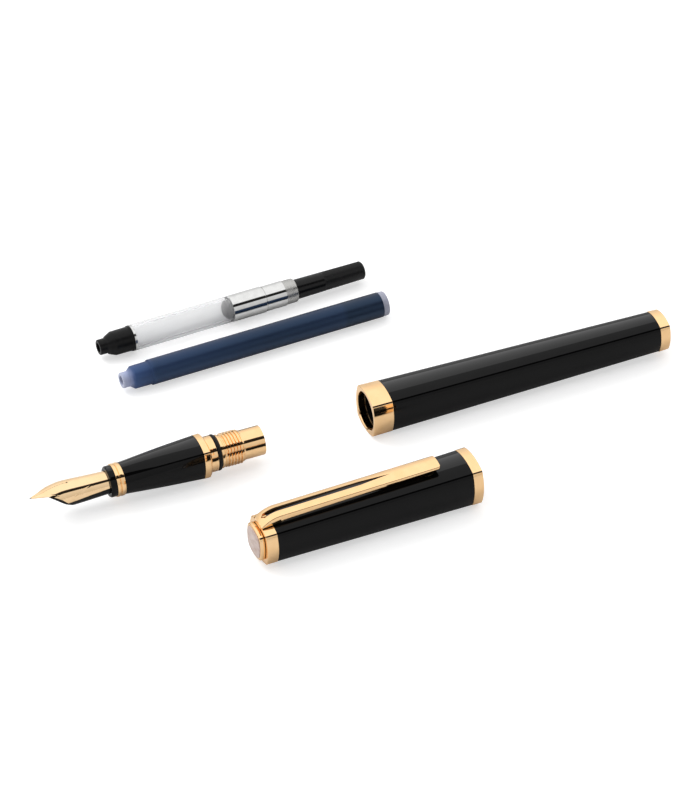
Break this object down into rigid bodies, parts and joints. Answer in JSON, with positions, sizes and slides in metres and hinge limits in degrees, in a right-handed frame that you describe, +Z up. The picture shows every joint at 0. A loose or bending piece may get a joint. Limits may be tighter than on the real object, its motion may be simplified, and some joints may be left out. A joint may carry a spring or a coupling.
{
  "type": "fountain pen",
  "caption": "Fountain pen taken apart: square-faced black barrel and cap with gilt trim and clip, nib section, piston converter and long ink cartridge.",
  "frame": {"origin": "centre of the laid-out set's footprint, on the table it lies on", "axes": "+X runs along the barrel and section from the nib to the tail, +Y from the cap towards the converter, +Z up from the table"},
  "size_m": [0.1688, 0.0966, 0.0145],
  "materials": {
    "gold_trim": "polished gold plate",
    "nib_gold": "polished gold with fine engraving lines",
    "black_lacquer": "deep gloss lacquer over brass",
    "black_gloss": "gloss black resin",
    "black_plastic": "satin black plastic",
    "knob_black": "satin black, finely knurled at its end",
    "seal_rubber": "soft black seal",
    "tipping_metal": "hard grey tipping alloy",
    "pearl_inlay": "pale pearl, blank",
    "steel": "turned steel",
    "bright_chrome": "bright chrome plate",
    "satin_chrome": "satin knurled chrome",
    "clear_tube": "clear, polished",
    "cartridge_blue": "translucent, moulded",
    "ink_blue": "dark blue ink",
    "cartridge_pale": "translucent pale lavender, moulded"
  },
  "bodies": {
    "section": {"section_tenon": "gold_trim", "section_flange": "gold_trim", "o_ring": "seal_rubber", "section_grip": "black_gloss", "section_trim_ring": "gold_trim", "nib_collar": "black_gloss", "nib": "nib_gold", "nib_tipping": "tipping_metal", "feed": "black_plastic", "ink_nipple": "black_plastic"},
    "barrel": {"barrel_mouth_ring": "gold_trim", "barrel_shell": "black_lacquer", "barrel_thread_bush": "black_plastic", "barrel_end_cap": "gold_trim"},
    "cap": {"cap_lip_ring": "gold_trim", "cap_shell": "black_lacquer", "inner_cap": "black_plastic", "cap_crown_ring": "gold_trim", "finial": "gold_trim", "finial_inlay": "pearl_inlay", "finial_screw": "steel"},
    "clip": {"clip": "gold_trim"},
    "converter": {"converter_mouth": "black_plastic", "converter_band": "bright_chrome", "converter_tube": "clear_tube", "converter_ferrule": "bright_chrome", "converter_guide_nut": "black_plastic", "converter_ring": "satin_chrome"},
    "knob": {"converter_knob": "knob_black"},
    "piston": {"piston_rod": "steel", "piston_seal": "seal_rubber"},
    "cartridge": {"cartridge_body": "cartridge_blue", "cartridge_ink": "ink_blue", "cartridge_end_plug": "cartridge_pale", "cartridge_seal": "cartridge_pale"}
  },
  "joints": [
    {"name": "barrel_slide", "type": "slide", "parent": "section", "child": "barrel", "axis": [1, 0, 0], "range_m": [-0.04185, 0]},
    {"name": "cap_slide", "type": "slide", "parent": "section", "child": "cap", "axis": [0.9996, 0.0279, 0], "range_m": [0, 0.045]},
    {"name": "clip_flex", "type": "hinge", "parent": "cap", "child": "clip", "pos_m": [-0.03916, -0.04296, 0.01101], "axis": [0.0279, -0.9996, 0], "range_deg": [0, 4], "stiffness_Nm_per_rad": 3},
    {"name": "converter_slide", "type": "slide", "parent": "section", "child": "converter", "axis": [-0.9991, -0.0419, 0], "range_m": [0, 0.0152]},
    {"name": "knob_turn", "type": "hinge", "parent": "converter", "child": "knob", "pos_m": [0.01252, 0.04537, 0.00345], "axis": [0.9991, 0.0419, 0], "range_deg": [0, 1980]},
    {"name": "piston_slide", "type": "slide", "parent": "converter", "child": "piston", "axis": [-0.9991, -0.0419, 0], "range_m": [0, 0.022]},
    {"name": "cartridge_slide", "type": "slide", "parent": "section", "child": "cartridge", "axis": [-0.9993, -0.0366, 0], "range_m": [0, 0.0152]}
  ],
  "couplings": [
    {"joint": "knob_turn", "follows": "piston_slide", "rad_per_m": 1570.8}
  ]
}
